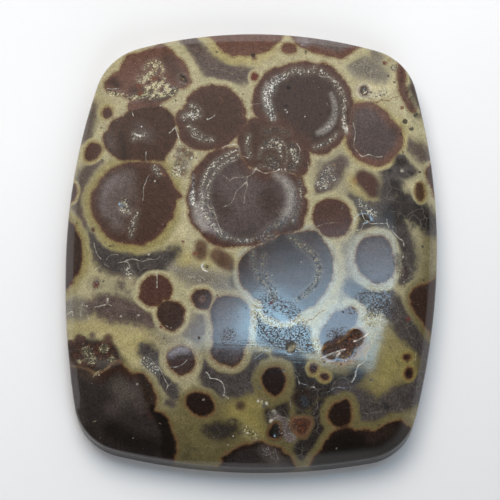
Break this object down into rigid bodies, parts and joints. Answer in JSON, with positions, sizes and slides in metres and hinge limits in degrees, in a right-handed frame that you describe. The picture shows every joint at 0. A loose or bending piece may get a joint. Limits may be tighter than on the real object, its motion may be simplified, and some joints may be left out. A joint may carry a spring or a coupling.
{
  "type": "orbicular jasper cabochon",
  "caption": "Domed rounded-rectangle gem cabochon of orbicular jasper with an upright girdle and a flat back, for setting in a bezel or resting on a surface.",
  "frame": {"origin": "middle of the stone's box, on the flat back", "axes": "+Z from the flat back to the dome, +Y along the stone's length towards its narrower end, +X across its width"},
  "size_m": [0.0302, 0.0368, 0.0054],
  "materials": {
    "polished_jasper": "polished dome, satin ground girdle and back; red-brown orbs in a cream and grey-brown matrix"
  },
  "bodies": {
    "root": {"cabochon": "polished_jasper"}
  },
  "joints": []
}
